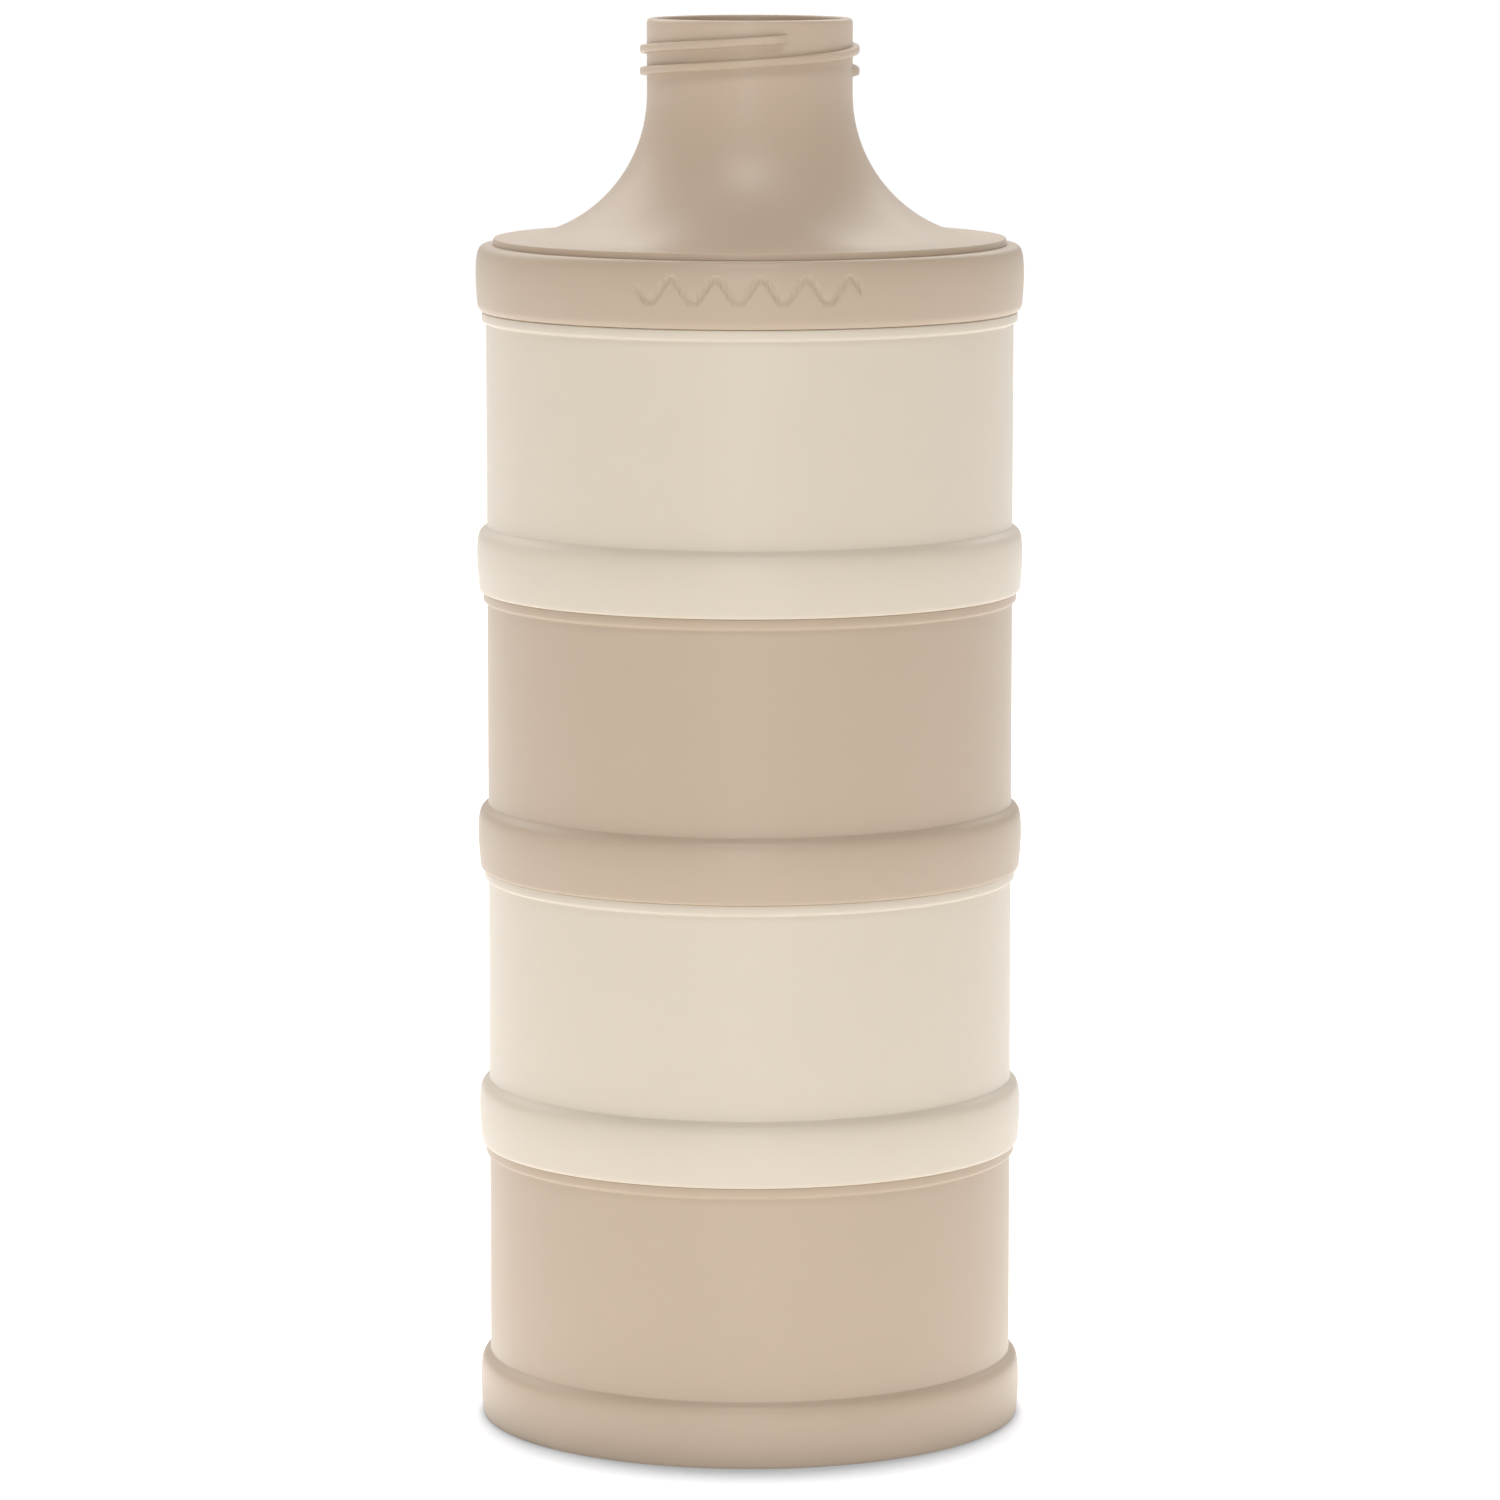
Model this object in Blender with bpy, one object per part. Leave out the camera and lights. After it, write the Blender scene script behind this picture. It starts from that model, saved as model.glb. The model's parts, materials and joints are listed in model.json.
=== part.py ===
"""A stacking formula dispenser: four cups that screw into one another, under a funnel lid.

Every cup is the same moulding. Its skirt has a female thread and screws down over the threaded
neck of the cup below, its floor closes that cup, and a flat seal under the floor presses on the
neck's rim. The lid is a collar with the same female thread, and a funnel that snaps into it.

Outlines and sizes are in millimetres. The object stands on Z = 0 with its axis on Z.
"""

import math

import bmesh
import bpy

MM = 0.001
SEGMENTS = 36  # facets of a full turn; a multiple of four, so that the box is square
WELD = 1e-7
SHARP_ANGLE = math.radians(32)

# Driving dimensions.
CUP_COUNT = 4
PITCH = 39.9  # what each cup adds to the height of the stack
SKIRT_RADIUS = 39.0  # the widest radius, on every skirt and on the collar
BODY_RADIUS = 37.55
WALL = 1.6
STACK_HEIGHT = 201.0
SEAT_GAP = 0.15  # between pieces that rest on each other

# The socket inside each skirt and inside the collar.
SOCKET_RADIUS = 37.2
SOCKET_DEPTH = 8.2
RIB_INNER, RIB_OUTER, RIB_BOTTOM = 32.2, 33.4, 5.6
SEAL_INNER, SEAL_OUTER, SEAL_THICKNESS = 33.7, 36.9, 1.2
SEAL_BOTTOM = SOCKET_DEPTH - SEAT_GAP - SEAL_THICKNESS

# The neck of each cup, and the bead that the next skirt stands on.
NECK_OUTER, NECK_INNER = 35.6, 34.1
SHOULDER = PITCH - SEAT_GAP
RIM = PITCH + SEAL_BOTTOM - SEAT_GAP
BEAD_RADIUS, BEAD_HEIGHT = 38.1, 1.6
SKIRT_HEIGHT = 9.35
FLOOR_TOP = SOCKET_DEPTH + WALL + 0.1

# Both threads have two starts and are right-handed.
STARTS = 2
LEAD = 6.2
CREST_MALE, CREST_FEMALE = 36.7, 36.1
RIDGE_EMBED = 0.5  # how far a ridge's root lies inside the wall that carries it
FIRST_RIDGE = 1.35  # where a male ridge starts, above the foot of the next skirt
MALE_SWEEP = 230.0
FEMALE_FROM, FEMALE_SWEEP = 110.0, 110.0

# The lid, with heights counted from the foot of the collar.
COLLAR_TOP = 9.4
SHELF_INNER = 32.0
SPIGOT_OUTER, SPIGOT_INNER, SPIGOT_BOTTOM = 31.7, 30.2, 5.6
SNAP_RADIUS = 32.3
FLANGE_RADIUS = 36.5
FLANGE_BOTTOM, FLANGE_TOP = COLLAR_TOP + SEAT_GAP, 10.37
MOUTH_HEIGHT = STACK_HEIGHT - CUP_COUNT * PITCH
MOUTH_OUTER, MOUTH_WALL = 14.6, 1.3
FLARE_TOP = 30.75  # where the straight neck of the funnel starts
FLARE_FOOT = 34.3  # the radius where the flare runs out into the flange
MOUTH_CREST = 15.57
MOUTH_RIDGE_FOOT = 33.7  # height of a ridge's middle where it starts
MOUTH_RIDGE_FROM, MOUTH_RIDGE_SWEEP = -10.0, 303.0

CREAM = (0.76, 0.67, 0.54)
SAND = (0.58, 0.46, 0.35)
SILICONE = (0.80, 0.77, 0.72)


def clear_scene():
    for obj in list(bpy.data.objects):
        bpy.data.objects.remove(obj)


def material(name, colour, roughness):
    made = bpy.data.materials.new(name)
    made.use_nodes = True
    shader = made.node_tree.nodes["Principled BSDF"]
    shader.inputs["Base Color"].default_value = (*colour, 1)
    shader.inputs["Roughness"].default_value = roughness
    shader.inputs["Metallic"].default_value = 0
    return made


def bezier(p0, p1, p2, p3, steps):
    """Points of a cubic Bezier curve in the outline's plane, both ends included."""
    points = []
    for i in range(steps + 1):
        t = i / steps
        weights = ((1 - t) ** 3, 3 * t * (1 - t) ** 2, 3 * t * t * (1 - t), t**3)
        points.append(tuple(sum(w * p[k] for w, p in zip(weights, (p0, p1, p2, p3))) for k in (0, 1)))
    return points


def turned(name, outline, closed):
    """A mesh made by spinning an outline of (radius, height) about Z. An open outline ends on the axis."""
    bm = bmesh.new()
    verts = [bm.verts.new((radius * MM, 0, height * MM)) for radius, height in outline]
    ends = verts[1:] + verts[:1] if closed else verts[1:]
    edges = [bm.edges.new(pair) for pair in zip(verts, ends)]
    bmesh.ops.spin(
        bm, geom=verts + edges, axis=(0, 0, 1), cent=(0, 0, 0), steps=SEGMENTS, angle=2 * math.pi, use_merge=True
    )
    bmesh.ops.remove_doubles(bm, verts=bm.verts, dist=WELD)
    bmesh.ops.recalc_face_normals(bm, faces=bm.faces)
    mesh = bpy.data.meshes.new(name)
    bm.to_mesh(mesh)
    bm.free()
    return mesh


def thread_ridge(wall, crest, foot, turn_from, sweep, thickness):
    """One start of a thread: a tapered ridge that climbs by LEAD a turn, on a wall of radius wall.

    foot is the height of the ridge's middle at turn_from. The ridge stands out where crest is
    beyond the wall and in where it is nearer the axis, and both of its ends sink into the wall.
    """
    outward = 1 if crest > wall else -1
    root = wall - outward * RIDGE_EMBED
    steps = round(sweep * SEGMENTS / 360)
    bm = bmesh.new()
    rings = []
    for i in range(steps + 1):
        degrees = sweep * i / steps
        angle = math.radians(turn_from + degrees)
        middle = foot + LEAD * degrees / 360
        sunk = i in (0, steps)
        top = wall - outward * RIDGE_EMBED / 2 if sunk else crest
        section = (
            (root, middle - thickness / 2),
            (top, middle - thickness / 3),
            (top, middle + thickness / 3),
            (root, middle + thickness / 2),
        )
        rings.append(
            [bm.verts.new((r * MM * math.cos(angle), r * MM * math.sin(angle), z * MM)) for r, z in section]
        )
    for lower, upper in zip(rings, rings[1:]):
        for k in range(4):
            bm.faces.new((lower[k], lower[(k + 1) % 4], upper[(k + 1) % 4], upper[k]))
    bm.faces.new(rings[0])
    bm.faces.new(rings[-1])
    bmesh.ops.recalc_face_normals(bm, faces=bm.faces)
    mesh = bpy.data.meshes.new("ridge")
    bm.to_mesh(mesh)
    bm.free()
    return mesh


def female_ridges():
    """The starts inside a skirt or the collar, half a ridge spacing below the neck's own."""
    foot = FIRST_RIDGE - LEAD / STARTS / 2 + LEAD * FEMALE_FROM / 360
    return [
        thread_ridge(SOCKET_RADIUS, CREST_FEMALE, foot, FEMALE_FROM + 360 * s / STARTS, FEMALE_SWEEP, 1.1)
        for s in range(STARTS)
    ]


def male_ridges():
    return [
        thread_ridge(NECK_OUTER, CREST_MALE, PITCH + FIRST_RIDGE, 360 * s / STARTS, MALE_SWEEP, 1.1)
        for s in range(STARTS)
    ]


def joined(mesh, others):
    """The union of a mesh with the others, as one new mesh."""
    base = bpy.data.objects.new("base", mesh)
    bpy.context.scene.collection.objects.link(base)
    helpers = [base]
    for other in others:
        helper = bpy.data.objects.new("helper", other)
        bpy.context.scene.collection.objects.link(helper)
        helpers.append(helper)
        union = base.modifiers.new("union", "BOOLEAN")
        union.operation = "UNION"
        union.object = helper
    bpy.context.view_layer.update()
    graph = bpy.context.evaluated_depsgraph_get()
    made = bpy.data.meshes.new_from_object(base.evaluated_get(graph))
    for helper in helpers:
        bpy.data.objects.remove(helper)
    return made


def place(name, mesh, height, surface):
    """An object on the stack's axis, with a material of its own even where it shares its mesh."""
    mesh.shade_smooth()
    mesh.set_sharp_from_angle(angle=SHARP_ANGLE)
    if not mesh.materials:
        mesh.materials.append(None)
    obj = bpy.data.objects.new(name, mesh)
    obj.location = (0, 0, height * MM)
    bpy.context.scene.collection.objects.link(obj)
    obj.material_slots[0].link = "OBJECT"
    obj.material_slots[0].material = surface
    return obj


def barrel(foot_radius, foot_height, shoulder):
    """The barrelled outside of a skirt or of the collar, from its rounded foot over its shoulder."""
    foot = [(foot_radius, 0), (38.68, foot_height), (38.83, 1.8), (SKIRT_RADIUS, 4.6)]
    return foot + shoulder


def socket_wall():
    return [(SOCKET_RADIUS, SOCKET_DEPTH), (SOCKET_RADIUS, 0.5), (SOCKET_RADIUS + 0.3, 0)]


def cup_outline():
    """From the axis under the floor, out over the skirt, up to the neck's rim and down to the floor."""
    inner = BODY_RADIUS - WALL
    shoulder = bezier((38.98, 6.2), (38.98, 9.5), (37.9, 8.9), (BODY_RADIUS, SKIRT_HEIGHT), 5)
    return [
        (0, SOCKET_DEPTH),
        (RIB_INNER, SOCKET_DEPTH),
        (RIB_INNER, RIB_BOTTOM),
        (RIB_OUTER, RIB_BOTTOM),
        (RIB_OUTER, SOCKET_DEPTH),
        *socket_wall(),
        *barrel(38.4, 0.35, shoulder),
        (BODY_RADIUS, SHOULDER - BEAD_HEIGHT),
        (BEAD_RADIUS, SHOULDER - BEAD_HEIGHT + 0.7),
        (BEAD_RADIUS, SHOULDER),
        (NECK_OUTER, SHOULDER),
        (NECK_OUTER, RIM),
        (NECK_INNER, RIM),
        (NECK_INNER, SHOULDER - 0.5),
        (inner, SHOULDER - 2.6),
        (inner, FLOOR_TOP + 1.6),
        (inner - 1.6, FLOOR_TOP),
        (0, FLOOR_TOP),
    ]


def seal_outline():
    top = SEAL_BOTTOM + SEAL_THICKNESS
    return [(SEAL_INNER, SEAL_BOTTOM), (SEAL_OUTER, SEAL_BOTTOM), (SEAL_OUTER, top), (SEAL_INNER, top)]


def collar_outline():
    shoulder = bezier((38.98, 6.2), (38.93, 8.4), (38.6, COLLAR_TOP), (37.6, COLLAR_TOP), 4)
    return [
        (SHELF_INNER, SOCKET_DEPTH),
        *socket_wall(),
        *barrel(38.1, 0.8, shoulder),
        (SHELF_INNER, COLLAR_TOP),
    ]


def funnel_outline():
    """From the foot of the spigot out over the flange, up the flare to the mouth, and down the inside."""
    bore = MOUTH_OUTER - MOUTH_WALL
    flare = bezier(
        (FLARE_FOOT, FLANGE_TOP), (24.26, FLANGE_TOP), (MOUTH_OUTER, 18.97), (MOUTH_OUTER, FLARE_TOP), 9
    )
    inside = bezier((bore, FLARE_TOP), (bore, 19.4), (22.2, 9.9), (SPIGOT_INNER, FLANGE_BOTTOM - 0.4), 7)
    return [
        (SPIGOT_INNER, SPIGOT_BOTTOM),
        (SPIGOT_OUTER, SPIGOT_BOTTOM),
        (SNAP_RADIUS, SOCKET_DEPTH - 0.8),
        (SNAP_RADIUS, SOCKET_DEPTH - 0.3),
        (SPIGOT_OUTER, SOCKET_DEPTH),
        (SPIGOT_OUTER, FLANGE_BOTTOM),
        (FLANGE_RADIUS, FLANGE_BOTTOM),
        (FLANGE_RADIUS, FLANGE_TOP - 0.3),
        (FLANGE_RADIUS - 0.3, FLANGE_TOP),
        *flare,
        (MOUTH_OUTER, MOUTH_HEIGHT - 0.4),
        (MOUTH_OUTER - 0.3, MOUTH_HEIGHT),
        (bore + 0.2, MOUTH_HEIGHT),
        (bore, MOUTH_HEIGHT - 0.3),
        *inside,
    ]


def build_cups(colours):
    cup = joined(turned("cup", cup_outline(), closed=False), female_ridges() + male_ridges())
    for n in range(CUP_COUNT):
        place(f"cup_{n + 1}", cup, n * PITCH, colours[n % len(colours)])


def build_seals(silicone):
    """A seal under the floor of every cup, the bottom one included, because the cups are alike."""
    seal = turned("seal", seal_outline(), closed=True)
    for n in range(CUP_COUNT):
        place(f"seal_{n + 1}", seal, n * PITCH, silicone)
    place("lid_seal", seal, CUP_COUNT * PITCH, silicone)


def build_lid(surface):
    collar = joined(turned("collar", collar_outline(), closed=True), female_ridges())
    place("collar", collar, CUP_COUNT * PITCH, surface)
    ridges = [
        thread_ridge(
            MOUTH_OUTER,
            MOUTH_CREST,
            MOUTH_RIDGE_FOOT,
            MOUTH_RIDGE_FROM + 360 * s / STARTS,
            MOUTH_RIDGE_SWEEP,
            1.35,
        )
        for s in range(STARTS)
    ]
    funnel = joined(turned("funnel", funnel_outline(), closed=True), ridges)
    place("funnel", funnel, CUP_COUNT * PITCH, surface)


def main():
    clear_scene()
    cream = material("cream_plastic", CREAM, 0.45)
    sand = material("sand_plastic", SAND, 0.45)
    silicone = material("silicone", SILICONE, 0.6)
    build_cups([sand, cream])
    build_seals(silicone)
    build_lid(sand)


main()
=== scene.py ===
"""The looks of a stacking formula dispenser: fine turned shells with real threads, in satin plastic.

Every shell is one mesh, made by turning an outline about the stack's axis. Where a shell carries a
thread, its rows climb with the thread, so that the ridges are part of the same closed surface.
Outlines are in millimetres, and their heights count from the foot of a cup or of the collar. The frame
gives the sizes that the pieces share with the CAD, and the rest are named below.
"""

import json
import math

import bmesh
import bpy
import numpy as np
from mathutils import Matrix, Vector


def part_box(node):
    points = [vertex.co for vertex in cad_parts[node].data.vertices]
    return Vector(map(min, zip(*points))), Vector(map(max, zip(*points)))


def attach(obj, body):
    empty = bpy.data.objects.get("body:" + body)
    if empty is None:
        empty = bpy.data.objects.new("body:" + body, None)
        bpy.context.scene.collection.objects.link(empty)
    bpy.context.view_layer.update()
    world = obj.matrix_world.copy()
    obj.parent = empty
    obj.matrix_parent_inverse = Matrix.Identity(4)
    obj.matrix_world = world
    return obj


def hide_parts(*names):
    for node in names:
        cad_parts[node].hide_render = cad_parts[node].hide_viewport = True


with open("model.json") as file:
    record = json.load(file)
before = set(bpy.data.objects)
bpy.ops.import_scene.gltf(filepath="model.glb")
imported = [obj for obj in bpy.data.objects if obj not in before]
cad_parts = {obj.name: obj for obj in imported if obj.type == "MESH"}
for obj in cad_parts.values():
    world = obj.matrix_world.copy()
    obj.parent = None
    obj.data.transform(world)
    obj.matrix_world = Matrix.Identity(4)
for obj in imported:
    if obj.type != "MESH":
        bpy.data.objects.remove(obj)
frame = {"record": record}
for leftover in ("Cube", "Light", "Camera"):
    if leftover in bpy.data.objects:
        bpy.data.objects.remove(bpy.data.objects[leftover])
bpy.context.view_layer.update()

MM = 0.001
COLUMNS = 192  # around a cup or a seal
FUNNEL_COLUMNS = 240
ARC_STEPS = 5  # in each rounded corner of an outline
SHARP_ANGLE = math.radians(33)
TOUCH = 1e-4  # millimetres; a thread's row this near an end of its wall joins that end


def size_mm(node, corner, axis):
    """One coordinate of a CAD node's box: corner 0 is the lowest and 1 the highest."""
    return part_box(node)[corner][axis] / MM


# Heights and radii that the frame gives.
PITCH = size_mm("cup_2", 0, 2) - size_mm("cup_1", 0, 2)
SKIRT_RADIUS = size_mm("cup_1", 1, 0)
RIM = size_mm("cup_1", 1, 2)
SEAL_RADIUS = size_mm("seal_1", 1, 0)
SEAL_LOW, SEAL_HIGH = size_mm("seal_1", 0, 2), size_mm("seal_1", 1, 2)
LID_FOOT = size_mm("collar", 0, 2)
COLLAR_TOP = size_mm("collar", 1, 2) - LID_FOOT
MOUTH_TOP = size_mm("funnel", 1, 2) - LID_FOOT
SPIGOT_FOOT = size_mm("funnel", 0, 2) - LID_FOOT
FLANGE_RADIUS = size_mm("funnel", 1, 0)

# What the cups and the collar have in common.
CUP_SEAM, FUNNEL_SEAM = 0.03, 0.01  # under a cup or the collar, and under the funnel's flange
SEAL_GAP = 0.15  # over a seal
FLOOR_LOW = SEAL_HIGH + SEAL_GAP
SOCKET_RADIUS = SKIRT_RADIUS - 1.8
WIDEST = SKIRT_RADIUS - 0.01
TOE = (SKIRT_RADIUS - 0.26, 0.9)  # radius and height where a foot's rounding ends

# A cup.
BODY_RADIUS = SKIRT_RADIUS - 1.45
INNER_RADIUS = BODY_RADIUS - 1.6
SKIRT_HEIGHT = 9.35
BODY_FOOT = 10.0
SHOULDER = PITCH - CUP_SEAM
BEAD_RADIUS = BODY_RADIUS + 0.57
BEAD_FOOT = SHOULDER - 1.6
BODY_TOP = BEAD_FOOT - 0.5
NECK_OUTER, NECK_INNER = 35.6, 34.1
FLOOR_HIGH = FLOOR_LOW + 1.7
RIB_INNER, RIB_OUTER = 32.2, 33.4
RIB_LOW = SPIGOT_FOOT  # the rib and the spigot hold their seals alike

# The collar and the funnel.
SHELF_INNER = 32.0
SPIGOT_OUTER, SPIGOT_INNER = 31.7, 30.2
SNAP_RADIUS = 32.25
FLANGE_LOW = COLLAR_TOP + FUNNEL_SEAM
FLANGE_HIGH = COLLAR_TOP + 0.97
FLARE_FOOT = 34.3  # the radius where the flare runs out into the flange
MOUTH_OUTER, MOUTH_INNER = 14.6, 13.3
BORE_LOW = 31.0  # where the straight bore of the mouth starts

# Every thread has two starts, is right-handed and climbs the same lead.
STARTS, LEAD = 2, 6.2
RIDGE_HALF = 0.62  # half the width of a ridge at its root
RIDGE_DEPTH, FUNNEL_RIDGE_DEPTH = 1.1, 0.97
RIDGE_SHAPE = 4.5  # the power of the superellipse across a ridge


# ------------------------------------------------------------------ curves and corners of outlines


def bezier(p0, p1, p2, p3, steps):
    """Points of a cubic Bezier curve, as (radius, height) pairs, both ends included."""
    t = np.linspace(0, 1, steps + 1)[:, None]
    p0, p1, p2, p3 = (np.array(p, float) for p in (p0, p1, p2, p3))
    curve = (1 - t) ** 3 * p0 + 3 * t * (1 - t) ** 2 * p1 + 3 * t * t * (1 - t) * p2 + t**3 * p3
    return [tuple(point) for point in curve]


def rounded(corners):
    """An outline with its corners (radius, height, fillet) rounded off. A fillet of 0 stays a corner."""
    points = []
    for i, (r, z, fillet) in enumerate(corners):
        here = np.array((r, z), float)
        if not fillet or i in (0, len(corners) - 1):
            points.append((r, z))
            continue
        before = np.array(corners[i - 1][:2], float) - here
        after = np.array(corners[i + 1][:2], float) - here
        start = here + before / np.linalg.norm(before) * fillet
        end = here + after / np.linalg.norm(after) * fillet
        for t in np.linspace(0, 1, ARC_STEPS + 1):
            points.append(tuple((1 - t) ** 2 * start + 2 * t * (1 - t) * here + t * t * end))
    return points


def barrel(foot, height):
    """The outside of a skirt or of the collar, up from its foot to the height of its shoulder."""
    side = bezier(TOE, (SKIRT_RADIUS - 0.14, 2.2), (WIDEST, 3.6), (WIDEST, height), 12)
    return foot + side[1:]


# ----------------------------------------------------------------------------------- turned meshes


class Thread:
    """A stretch of wall that carries a thread, from one height to another.

    foot is the height of a ridge's middle where it starts, at turn_from degrees. sweep is how far
    round each start runs, and taper how much of that it takes to rise to crest at either end.
    """

    def __init__(self, wall, crest, low, high, foot, turn_from, sweep, taper):
        self.wall, self.crest, self.low, self.high = wall, crest, low, high
        self.foot, self.turn_from, self.sweep, self.taper = foot, turn_from, sweep, taper

    def rows(self):
        """Heights of the rows at angle 0, before they climb: denser across a ridge's flanks."""
        across = RIDGE_HALF * np.array([0, 0.45, 0.72, 0.86, 0.94, 0.98, 1, 1.12, 1.5])
        across = np.concatenate([-across[:0:-1], across, [LEAD / STARTS / 2]])
        base = self.foot - LEAD * self.turn_from / 360
        first = math.floor((self.low - LEAD - base) / (LEAD / STARTS)) - 1
        last = math.ceil((self.high - base) / (LEAD / STARTS)) + 1
        return np.concatenate([base + k * LEAD / STARTS + across for k in range(first, last)])

    def height(self, angle, z):
        """How far the surface stands off the wall, as a share of the ridge's height."""
        share = np.zeros(np.broadcast(angle, z).shape)
        for start in range(STARTS):
            turn = angle - self.turn_from - 360 * start / STARTS
            turn = turn + 360 * np.round(((z - self.foot) / LEAD * 360 - turn) / 360)
            off = np.abs(z - self.foot - LEAD * turn / 360) / RIDGE_HALF
            ridge = np.clip(1 - off**RIDGE_SHAPE, 0, 1) ** (1 / RIDGE_SHAPE)
            rise = np.clip(np.minimum(turn, self.sweep - turn) / self.taper, 0, 1)
            share = np.maximum(share, ridge * rise * rise * (3 - 2 * rise))
        return share


def bridge(bm, lower, upper):
    """Faces between two closed rows of vertices."""
    for i in range(len(lower) - 1):
        add_face(bm, [lower[i], lower[i + 1], upper[i + 1], upper[i]])


def add_face(bm, corners):
    """A face of the corners that differ; nothing where fewer than three do."""
    kept = [v for k, v in enumerate(corners) if v is not corners[k - 1]]
    if len(set(kept)) >= 3:
        bm.faces.new(kept)


def vertex(bm, radius, turn, z):
    """A vertex at a radius and a height in millimetres, and at a turn in radians."""
    return bm.verts.new((radius * math.cos(turn) * MM, radius * math.sin(turn) * MM, z * MM))


def ring(bm, angles, radius, z):
    """A closed row of vertices, or one vertex where the radius is 0."""
    if np.isscalar(radius) and radius == 0:
        return [vertex(bm, 0, 0, z)] * (len(angles) + 1)
    radii = np.broadcast_to(radius, angles.shape)
    row = [vertex(bm, r, turn, z) for r, turn in zip(radii, np.radians(angles))]
    return row + [row[0]]


def thread_faces(bm, angles, thread, bottom, top):
    """The threaded wall between two rings. Its rows climb a lead in a turn and stop at either ring."""
    heights = thread.rows()
    per_turn = sum(heights < heights[0] + LEAD - TOUCH)
    climb = LEAD * angles / 360
    out = 1 if thread.crest > thread.wall else -1
    depth = abs(thread.crest - thread.wall)
    grid = []
    for row in heights:
        z = row + climb
        radius = thread.wall + out * depth * thread.height(angles, z)
        line = []
        for i, (r, h, turn) in enumerate(zip(radius, z, np.radians(angles))):
            if h <= thread.low + TOUCH:
                line.append(bottom[i])
            elif h >= thread.high - TOUCH:
                line.append(top[i])
            else:
                line.append(vertex(bm, r, turn, h))
        grid.append(line)
    for k in range(len(grid) - 1):
        for i in range(len(angles)):
            if i + 1 < len(angles):
                beyond = (grid[k][i + 1], grid[k + 1][i + 1])
            else:
                beyond = tuple(grid[min(j + per_turn, len(grid) - 1)][0] for j in (k, k + 1))
            add_face(bm, [grid[k][i], beyond[0], beyond[1], grid[k + 1][i]])


def turned(name, outline, angles, closed, shape=None):
    """A mesh turned from an outline of (radius, height) points and Threads.

    shape, if given, moves a ring's radius: it takes (angles, radius, height) and returns the radii.
    """
    bm = bmesh.new()
    rows = []
    for item in outline:
        if isinstance(item, Thread):
            rows.append(item)
            continue
        radius, z = item
        if shape is not None and radius:
            radius = shape(angles, radius, z)
        rows.append(ring(bm, angles, radius, z))
    if closed:
        rows.append(rows[0])
    for k, row in enumerate(rows):
        if isinstance(row, Thread):
            below, above = rows[k - 1], rows[k + 1]
            low_first = below[0].co.z < above[0].co.z
            bottom, top = (below, above) if low_first else (above, below)
            thread_faces(bm, angles, row, bottom, top)
        elif k and not isinstance(rows[k - 1], Thread):
            bridge(bm, rows[k - 1], row)
    bmesh.ops.delete(bm, geom=[v for v in bm.verts if not v.link_faces], context="VERTS")
    bmesh.ops.recalc_face_normals(bm, faces=bm.faces)
    mesh = bpy.data.meshes.new(name)
    bm.to_mesh(mesh)
    bm.free()
    mesh.shade_smooth()
    mesh.set_sharp_from_angle(angle=SHARP_ANGLE)
    return mesh


def even_angles(columns):
    """Angles in degrees, evenly spaced round a full turn."""
    return np.arange(columns) * 360 / columns


# ---------------------------------------------------------------------------- the pieces' outlines


def socket():
    """The inside of a skirt or of the collar, down its thread and round the edge of its foot."""
    ridge = Thread(
        wall=SOCKET_RADIUS,
        crest=SOCKET_RADIUS - RIDGE_DEPTH,
        low=0.75,
        high=6.4,
        foot=1.694,
        turn_from=110,
        sweep=110,
        taper=9,
    )
    edge = rounded([(SOCKET_RADIUS, 0.6, 0), (SOCKET_RADIUS, 0, 0.3), (SKIRT_RADIUS, 0, 0)])
    return [(SOCKET_RADIUS, ridge.high), ridge, (SOCKET_RADIUS, ridge.low), *edge[:-1]]


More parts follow.
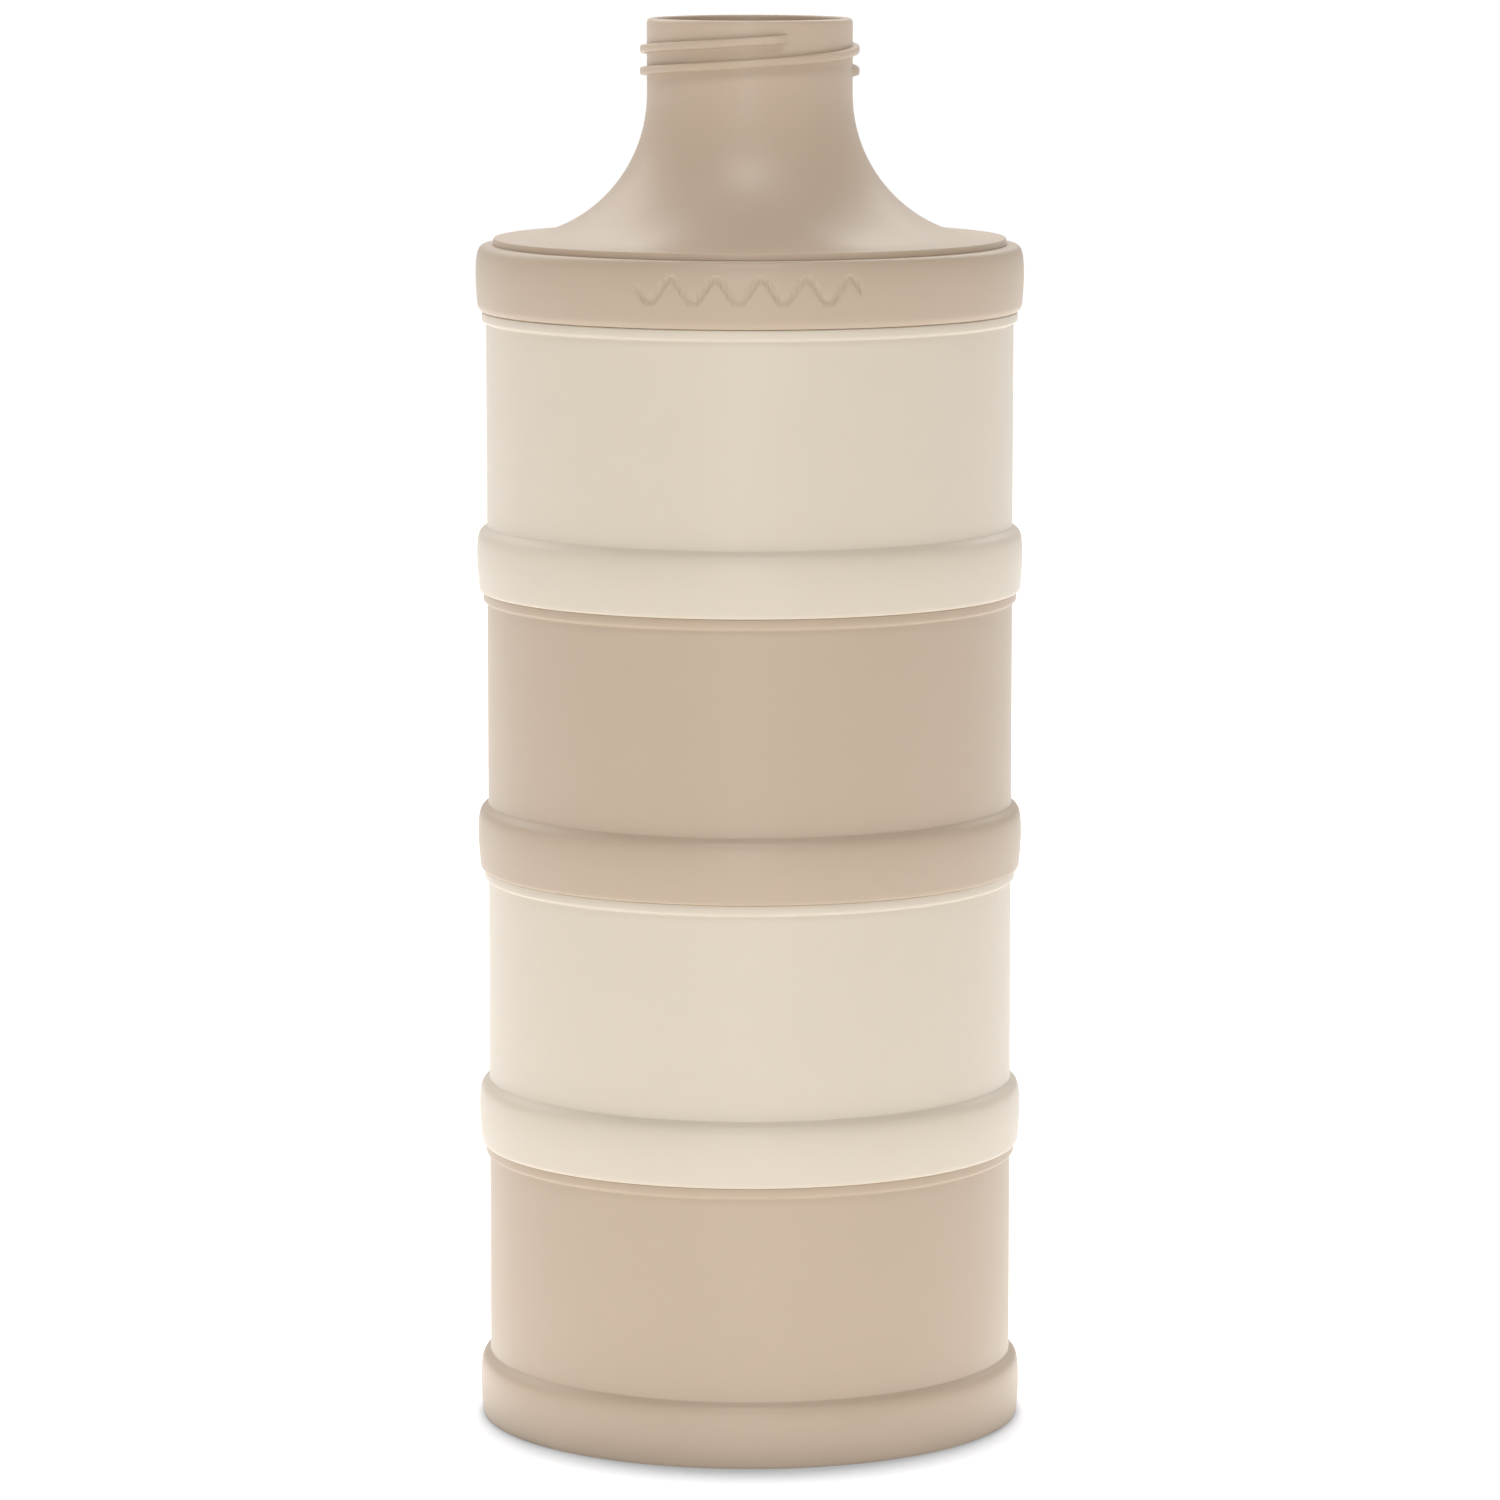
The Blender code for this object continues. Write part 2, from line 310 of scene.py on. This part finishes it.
def cup_outline():
    """From the axis under the floor, out over the skirt, up to the neck's rim and down to the floor."""
    ridge = Thread(
        wall=NECK_OUTER,
        crest=NECK_OUTER + RIDGE_DEPTH,
        low=PITCH + 0.3,
        high=RIM - 0.45,
        foot=PITCH + 1.35,
        turn_from=0,
        sweep=230,
        taper=10,
    )
    gate_tip, dimple = FLOOR_LOW - 0.35, FLOOR_LOW + 0.25  # the gate mark, and the dimple round it
    under = rounded(
        [
            (0.9, gate_tip, 0),
            (1.3, gate_tip, 0.1),
            (1.5, dimple, 0.15),
            (5.0, dimple, 0.2),
            (5.6, FLOOR_LOW, 0.3),
            (RIB_INNER, FLOOR_LOW, 0.6),
            (RIB_INNER, RIB_LOW, 0.35),
            (RIB_OUTER, RIB_LOW, 0.35),
            (RIB_OUTER, FLOOR_LOW, 0.15),
            (SOCKET_RADIUS, FLOOR_LOW, 0.25),
            (SOCKET_RADIUS, FLOOR_LOW - 0.3, 0),
        ]
    )
    foot = bezier((SKIRT_RADIUS - 0.75, 0), (SKIRT_RADIUS - 0.38, 0), (SKIRT_RADIUS - 0.3, 0.25), TOE, 6)
    shoulder = bezier(
        (WIDEST, 5.0), (WIDEST, 8.98), (SKIRT_RADIUS - 0.56, 8.5), (BODY_RADIUS, SKIRT_HEIGHT), 18
    )
    crease = rounded(
        [
            (BODY_RADIUS + 0.12, SKIRT_HEIGHT - 0.12, 0),
            (BODY_RADIUS, SKIRT_HEIGHT, 0.08),
            (BODY_RADIUS, BODY_FOOT, 0),
        ]
    )
    body = [(BODY_RADIUS, z) for z in np.linspace(BODY_FOOT, BODY_TOP, 8)[1:-1]]
    bead = rounded(
        [
            (BODY_RADIUS, BODY_TOP, 0),
            (BODY_RADIUS, BEAD_FOOT, 0.1),
            (BEAD_RADIUS, BEAD_FOOT + 0.25, 0.25),
            (BEAD_RADIUS, SHOULDER, 0.22),
            (NECK_OUTER, SHOULDER, 0.15),
            (NECK_OUTER, ridge.low, 0),
        ]
    )
    rim = rounded(
        [
            (NECK_OUTER, ridge.high, 0),
            (NECK_OUTER, RIM, 0.35),
            (NECK_INNER, RIM, 0.35),
            (NECK_INNER, SHOULDER - 0.5, 0.8),
            (INNER_RADIUS, SHOULDER - 2.6, 0.9),
            (INNER_RADIUS, FLOOR_HIGH, 2.2),
            (1.2, FLOOR_HIGH, 0),
        ]
    )
    return [
        (0, gate_tip),
        *under,
        *socket(),
        *barrel(foot, shoulder[0][1]),
        *shoulder[1:-1],
        *crease[1:],
        *body,
        *bead,
        ridge,
        *rim,
        (0, FLOOR_HIGH),
    ]


def seal_outline():
    """A flat ring with rounded edges, round a cup's rib."""
    inner = RIB_OUTER + 0.3
    middle = (inner + SEAL_RADIUS) / 2
    loop = [
        (middle, SEAL_LOW, 0),
        (SEAL_RADIUS, SEAL_LOW, 0.3),
        (SEAL_RADIUS, SEAL_HIGH, 0.3),
        (inner, SEAL_HIGH, 0.3),
        (inner, SEAL_LOW, 0.3),
        (middle, SEAL_LOW, 0),
    ]
    return rounded(loop)[:-1]


def collar_outline():
    """From the top of the shelf in and under it, down the socket and up the outside."""
    shelf = rounded(
        [
            (34.5, COLLAR_TOP, 0),  # under the flange, where the outline starts and ends
            (SHELF_INNER, COLLAR_TOP, 0.25),
            (SHELF_INNER, FLOOR_LOW, 0.25),
            (SOCKET_RADIUS, FLOOR_LOW, 0.25),
            (SOCKET_RADIUS, FLOOR_LOW - 0.3, 0),
        ]
    )
    foot = bezier((SKIRT_RADIUS - 1.05, 0), (SKIRT_RADIUS - 0.7, 0), (SKIRT_RADIUS - 0.4, 0.4), TOE, 7)
    shoulder = bezier(
        (WIDEST, 5.6),
        (SKIRT_RADIUS - 0.05, 8.4),
        (SKIRT_RADIUS - 0.4, COLLAR_TOP),
        (SKIRT_RADIUS - 1.4, COLLAR_TOP),
        18,
    )
    return [*shelf, *socket(), *barrel(foot, shoulder[0][1]), *shoulder[1:]]


def funnel_outline():
    """From the spigot's foot out over the flange, up the flare to the mouth and down the inside."""
    ridge = Thread(
        wall=MOUTH_OUTER,
        crest=MOUTH_OUTER + FUNNEL_RIDGE_DEPTH,
        low=32.2,
        high=39.9,
        foot=33.7,
        turn_from=-10,
        sweep=303,
        taper=9,
    )
    spigot = rounded(
        [
            (SPIGOT_INNER, SPIGOT_FOOT + 1.0, 0),
            (SPIGOT_INNER, SPIGOT_FOOT, 0.3),
            (SPIGOT_OUTER, SPIGOT_FOOT, 0.4),
            (SNAP_RADIUS, FLOOR_LOW - 0.75, 0.2),
            (SNAP_RADIUS, FLOOR_LOW - 0.3, 0.15),
            (SPIGOT_OUTER, FLOOR_LOW + 0.05, 0.15),
            (SPIGOT_OUTER, FLANGE_LOW, 0.15),
            (FLANGE_RADIUS, FLANGE_LOW, 0.05),
            (FLANGE_RADIUS - 0.1, FLANGE_HIGH, 0.16),
            (FLARE_FOOT, FLANGE_HIGH, 0),
        ]
    )
    flare = bezier(
        (FLARE_FOOT, FLANGE_HIGH), (24.26, FLANGE_HIGH), (MOUTH_OUTER, 18.97), (MOUTH_OUTER, 30.75), 44
    )
    mouth = rounded(
        [
            (MOUTH_OUTER, ridge.high, 0),
            (MOUTH_OUTER, MOUTH_TOP, 0.75),
            (MOUTH_INNER, MOUTH_TOP, 0.45),
            (MOUTH_INNER, BORE_LOW, 0),
        ]
    )
    inside = bezier(
        (MOUTH_INNER, BORE_LOW), (MOUTH_INNER, 19.4), (22.2, 9.9), (SPIGOT_INNER, FLANGE_LOW - 0.4), 32
    )
    return [*spigot, *flare[1:], (MOUTH_OUTER, ridge.low), ridge, *mouth, *inside[1:]]


# ------------------------------------------------------------------------------- the collar's mark

WAVE_MIDDLE, WAVE_HEIGHT, WAVE_LENGTH, WAVES = 5.4, 3.2, 31.5, 5
WAVE_SAMPLES = 700
GROOVE_HALF, GROOVE_DEPTH, GROOVE_EDGE = 0.32, 0.24, 0.12
FRONT = 270.0  # the angle of the object's front, in degrees
FINE_STEP = 0.19  # in degrees, between the collar's columns over the wave
COARSE_COLUMNS = 170  # round the rest of the collar


def wave_distance(along, z):
    """How far each point of the collar's side lies from a wave line with round ends, in millimetres."""
    samples = np.linspace(-WAVE_LENGTH / 2, WAVE_LENGTH / 2, WAVE_SAMPLES)
    line = WAVE_MIDDLE + WAVE_HEIGHT / 2 * np.sin(2 * math.pi * WAVES * samples / WAVE_LENGTH)
    away = np.hypot(along[:, None] - samples[None, :], z - line[None, :])
    return away.min(axis=1)


def waved(angles, radius, z):
    """The collar's outside with a shallow groove along the wave line."""
    outside = radius > SKIRT_RADIUS - 0.4 and abs(z - WAVE_MIDDLE) < WAVE_HEIGHT / 2 + 1
    if not outside:
        return radius
    turn = (angles - FRONT + 180) % 360 - 180
    along = np.radians(turn) * SKIRT_RADIUS
    near = np.abs(along) < WAVE_LENGTH / 2 + 1
    radii = np.full(angles.shape, float(radius))
    inside = (GROOVE_HALF + GROOVE_EDGE - wave_distance(along[near], z)) / GROOVE_EDGE
    depth = np.clip(inside, 0, 1)
    radii[near] -= GROOVE_DEPTH * depth * depth * (3 - 2 * depth)
    return radii


def collar_angles():
    """Columns that are close together over the wave and wider elsewhere."""
    half = math.degrees(WAVE_LENGTH / 2 / SKIRT_RADIUS) + 1.5
    fine = np.arange(FRONT - half, FRONT + half, FINE_STEP)
    coarse = np.linspace(fine[-1], fine[0] + 360, COARSE_COLUMNS + 2)[1:-1]
    return np.sort(np.concatenate([fine, coarse]) % 360)


# --------------------------------------------------------------------------------------- materials


class Nodes:
    """A small helper that adds and links shader nodes by their type."""

    def __init__(self, tree):
        self.tree = tree

    def add(self, kind, inputs=None, **settings):
        """A new node. An input is a value, or the output of another node."""
        node = self.tree.nodes.new(kind)
        for key, value in settings.items():
            setattr(node, key, value)
        for key, value in (inputs or {}).items():
            if isinstance(value, bpy.types.NodeSocket):
                self.tree.links.new(value, node.inputs[key])
            else:
                node.inputs[key].default_value = value
        return node

    def map_range(self, value, start, end, low, high, smooth=False):
        """The value taken from start..end to low..high, and held at low and high beyond them."""
        inputs = {"Value": value, "From Min": start, "From Max": end, "To Min": low, "To Max": high}
        kind = "SMOOTHSTEP" if smooth else "LINEAR"
        return self.add("ShaderNodeMapRange", inputs, interpolation_type=kind).outputs["Result"]

    def multiply(self, first, second):
        """The product of an output and another output or a number."""
        return self.add("ShaderNodeMath", {0: first, 1: second}, operation="MULTIPLY").outputs["Value"]


# The noise in a surface, in its features to the metre.
MOTTLE_SCALE, SMEAR_SCALE, GRAIN_SCALE = 45.0, 160.0, 2600.0
ROUGHNESS_SPREAD = 0.04


def plastic(name, light, dark, roughness, subsurface):
    """Satin moulded plastic: a faint mottle in the colour, and the fine grain of an eroded mould."""
    made = bpy.data.materials.new(name)
    made.use_nodes = True
    nodes = Nodes(made.node_tree)
    shader = made.node_tree.nodes["Principled BSDF"]
    where = nodes.add("ShaderNodeTexCoord").outputs["Object"]
    mottle = nodes.add("ShaderNodeTexNoise", {"Vector": where, "Scale": MOTTLE_SCALE, "Detail": 3.0})
    colour = nodes.add("ShaderNodeValToRGB", {"Fac": mottle.outputs["Fac"]})
    ramp = colour.color_ramp
    ramp.elements[0].position, ramp.elements[1].position = 0.3, 0.7
    ramp.elements[0].color, ramp.elements[1].color = (*dark, 1), (*light, 1)
    made.node_tree.links.new(colour.outputs["Color"], shader.inputs["Base Color"])
    grain = nodes.add("ShaderNodeTexNoise", {"Vector": where, "Scale": GRAIN_SCALE, "Detail": 2.0})
    smear = nodes.add("ShaderNodeTexNoise", {"Vector": where, "Scale": SMEAR_SCALE, "Detail": 4.0})
    low, high = roughness - ROUGHNESS_SPREAD, roughness + ROUGHNESS_SPREAD
    rough = nodes.map_range(smear.outputs["Fac"], 0, 1, low, high)
    made.node_tree.links.new(rough, shader.inputs["Roughness"])
    bump = nodes.add(
        "ShaderNodeBump", {"Height": grain.outputs["Fac"], "Strength": 0.12, "Distance": 0.00004}
    )
    made.node_tree.links.new(bump.outputs["Normal"], shader.inputs["Normal"])
    shader.inputs["Metallic"].default_value = 0
    shader.inputs["IOR"].default_value = 1.49
    shader.inputs["Subsurface Weight"].default_value = subsurface
    shader.inputs["Subsurface Radius"].default_value = (1.0, 0.7, 0.45)
    shader.inputs["Subsurface Scale"].default_value = 0.0015
    return made


def place(name, mesh, surface, body, node, height=0.0):
    """A piece on the stack's axis that rides on a body and stands for a CAD node."""
    piece = bpy.data.objects.new(name, mesh)
    piece.location = (0, 0, height * MM)
    bpy.context.scene.collection.objects.link(piece)
    if not mesh.materials:
        mesh.materials.append(None)
    piece.material_slots[0].link = "OBJECT"
    piece.material_slots[0].material = surface
    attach(piece, body)
    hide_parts(node)


def node_bodies():
    """The body that each CAD node rides on."""
    bodies = frame["record"]["behaviour"]["bodies"]
    return {node: body for body, nodes in bodies.items() for node in nodes}


def build_object():
    """The four cups with their seals, the collar with its seal, and the funnel."""
    cream = plastic("cream_plastic", (0.715, 0.626, 0.514), (0.705, 0.617, 0.505), 0.42, 0.15)
    sand = plastic("sand_plastic", (0.552, 0.435, 0.325), (0.542, 0.427, 0.319), 0.42, 0.12)
    # The funnel's plastic is a brighter copy of the sand plastic: painted light, which lightens the
    # flare beyond what the lamps give it.
    painted_light_sand = plastic("sand_plastic_painted_light", (0.6, 0.473, 0.354), (0.59, 0.465, 0.348), 0.42, 0.12)
    silicone = plastic("silicone", (0.80, 0.77, 0.72), (0.78, 0.75, 0.70), 0.5, 0.4)
    bodies = node_bodies()
    cup = turned("cup_shell", cup_outline(), even_angles(COLUMNS), closed=False)
    seal = turned("seal_ring", seal_outline(), even_angles(COLUMNS), closed=True)
    for n in range(1, 5):
        surface, slot = (sand, "sand_plastic") if n % 2 else (cream, "cream_plastic")
        height = PITCH * (n - 1)
        place(f"cup_{n}_shell", cup, surface, bodies[f"cup_{n}"], f"cup_{n}", height)
        place(f"seal_{n}_ring", seal, silicone, bodies[f"seal_{n}"], f"seal_{n}", height)
    place("lid_seal_ring", seal, silicone, bodies["lid_seal"], "lid_seal", LID_FOOT)
    collar = turned("collar_shell", collar_outline(), collar_angles(), closed=True, shape=waved)
    place("collar_shell", collar, sand, bodies["collar"], "collar", LID_FOOT)
    funnel = turned("funnel_shell", funnel_outline(), even_angles(FUNNEL_COLUMNS), closed=True)
    place("funnel_shell", funnel, painted_light_sand, bodies["funnel"], "funnel", LID_FOOT)


# ------------------------------------------------------------------------ floor, lights and camera

FLOOR_SIZE = 60  # metres
GLOW_BY_STACK, GLOW_BEHIND, GLOW_IN_FRONT = 1.6, 0.68, 0.3  # strengths of the floor's emission
GLOW_START, GLOW_END = 0.052, 0.08  # metres from the axis, where it falls from the first strength
FRONT_START, FRONT_END = -0.35, -0.08  # metres along Y, where it goes from the third to the second
SHADOW_REACH = 0.034  # metres


def build_floor():
    """A white table that glows near the stack, with a soft grey shadow where the stack stands on it."""
    bpy.ops.mesh.primitive_plane_add(size=FLOOR_SIZE)
    floor = bpy.context.object
    floor.name = "floor"
    surface = bpy.data.materials.new("floor_white")
    surface.use_nodes = True
    shader = surface.node_tree.nodes["Principled BSDF"]
    nodes = Nodes(surface.node_tree)
    where = nodes.add("ShaderNodeNewGeometry").outputs["Position"]
    away = nodes.add("ShaderNodeVectorMath", {0: where}, operation="LENGTH").outputs["Value"]
    depth = nodes.add("ShaderNodeSeparateXYZ", {"Vector": where}).outputs["Y"]
    far = nodes.map_range(depth, FRONT_START, FRONT_END, GLOW_IN_FRONT, GLOW_BEHIND)
    glow = nodes.map_range(away, GLOW_START, GLOW_END, GLOW_BY_STACK, far, smooth=True)
    # The shadow is read a little to the back, so that it shows in front of the stack.
    towards = nodes.add("ShaderNodeCombineXYZ", {"Y": 0.4, "Z": 0.92}).outputs["Vector"]
    contact = nodes.add(
        "ShaderNodeAmbientOcclusion", {"Distance": SHADOW_REACH, "Normal": towards}, samples=16
    )
    tone = nodes.add("ShaderNodeValToRGB", {"Fac": contact.outputs["AO"]})
    tone.color_ramp.elements[0].position, tone.color_ramp.elements[1].position = 0.44, 1.0
    tone.color_ramp.elements[0].color = (0.2, 0.202, 0.207, 1)
    tone.color_ramp.elements[1].color = (1, 1, 1, 1)
    surface.node_tree.links.new(tone.outputs["Color"], shader.inputs["Base Color"])
    surface.node_tree.links.new(tone.outputs["Color"], shader.inputs["Emission Color"])
    surface.node_tree.links.new(glow, shader.inputs["Emission Strength"])
    shader.inputs["Roughness"].default_value = 0.9
    shader.inputs["Specular IOR Level"].default_value = 0.1
    floor.data.materials.append(surface)


LIGHT_TARGET = Vector((0, 0, 0.1))  # about the middle of the stack
# How bright the surroundings are: at their front and back, and by the height of the direction, where
# 0 is the horizon and 1 straight overhead. The second is halved, because a curve ends at 1.
SKY_FRONT, SKY_BACK = 0.255, 0.66
HALF_SKY_BY_HEIGHT = ((0, 0.5), (0.25, 0.5), (0.55, 0.39), (0.8, 0.45), (1, 1))


def softbox(name, place_m, width, height, watts):
    """A white rectangular area light, aimed at the middle of the stack."""
    light = bpy.data.lights.new(name, "AREA")
    light.shape, light.size, light.size_y = "RECTANGLE", width, height
    light.energy = watts
    lamp = bpy.data.objects.new(name, light)
    bpy.context.scene.collection.objects.link(lamp)
    lamp.location = place_m
    lamp.rotation_euler = (LIGHT_TARGET - Vector(place_m)).to_track_quat("-Z", "Y").to_euler()


def build_lights():
    """Pale surroundings, brightest behind the stack and straight overhead, and three softboxes."""
    world = bpy.data.worlds.new("studio")
    bpy.context.scene.world = world
    world.use_nodes = True
    nodes = Nodes(world.node_tree)
    direction = nodes.add("ShaderNodeTexCoord").outputs["Generated"]
    parts = nodes.add("ShaderNodeSeparateXYZ", {"Vector": direction})
    by_depth = nodes.map_range(parts.outputs["Y"], -0.1, 0.9, SKY_FRONT, SKY_BACK, smooth=True)
    by_height = nodes.add("ShaderNodeFloatCurve", {"Value": parts.outputs["Z"]})
    curve = by_height.mapping.curves[0]
    curve.points[0].location = HALF_SKY_BY_HEIGHT[0]
    curve.points[1].location = HALF_SKY_BY_HEIGHT[-1]
    for height, half_share in HALF_SKY_BY_HEIGHT[1:-1]:
        curve.points.new(height, half_share)
    by_height.mapping.update()
    whole = nodes.multiply(by_height.outputs["Value"], 2.0)
    strength = nodes.multiply(by_depth, whole)
    background = world.node_tree.nodes["Background"]
    background.inputs["Color"].default_value = (1, 1, 1, 1)
    world.node_tree.links.new(strength, background.inputs["Strength"])
    softbox("softbox_front", (-0.1, -2.0, 0.2), width=0.3, height=1.2, watts=7.0)
    softbox("softbox_back", (-0.2, 1.0, 1.1), width=2.6, height=0.9, watts=15)
    softbox("softbox_top", (0.0, -0.9, 1.6), width=0.7, height=0.5, watts=9.2)


LENS, SENSOR_WIDTH = 168.7, 36  # millimetres
CAMERA_PLACE = (0.00003, -0.9998, 0.2328)  # metres
CAMERA_TILT = 7.77  # degrees, downwards


def build_camera():
    """The lens, distance and tilt that give the stack its slight perspective."""
    camera = bpy.data.objects.new("camera", bpy.data.cameras.new("camera"))
    camera.data.sensor_width = SENSOR_WIDTH
    camera.data.lens = LENS
    camera.data.clip_start, camera.data.clip_end = 0.05, 100
    camera.location = CAMERA_PLACE
    camera.rotation_euler = (math.radians(90 - CAMERA_TILT), 0, 0)
    bpy.context.scene.collection.objects.link(camera)
    bpy.context.scene.camera = camera
    bpy.context.scene.view_settings.view_transform = "Standard"


build_object()
build_floor()
build_lights()
build_camera()
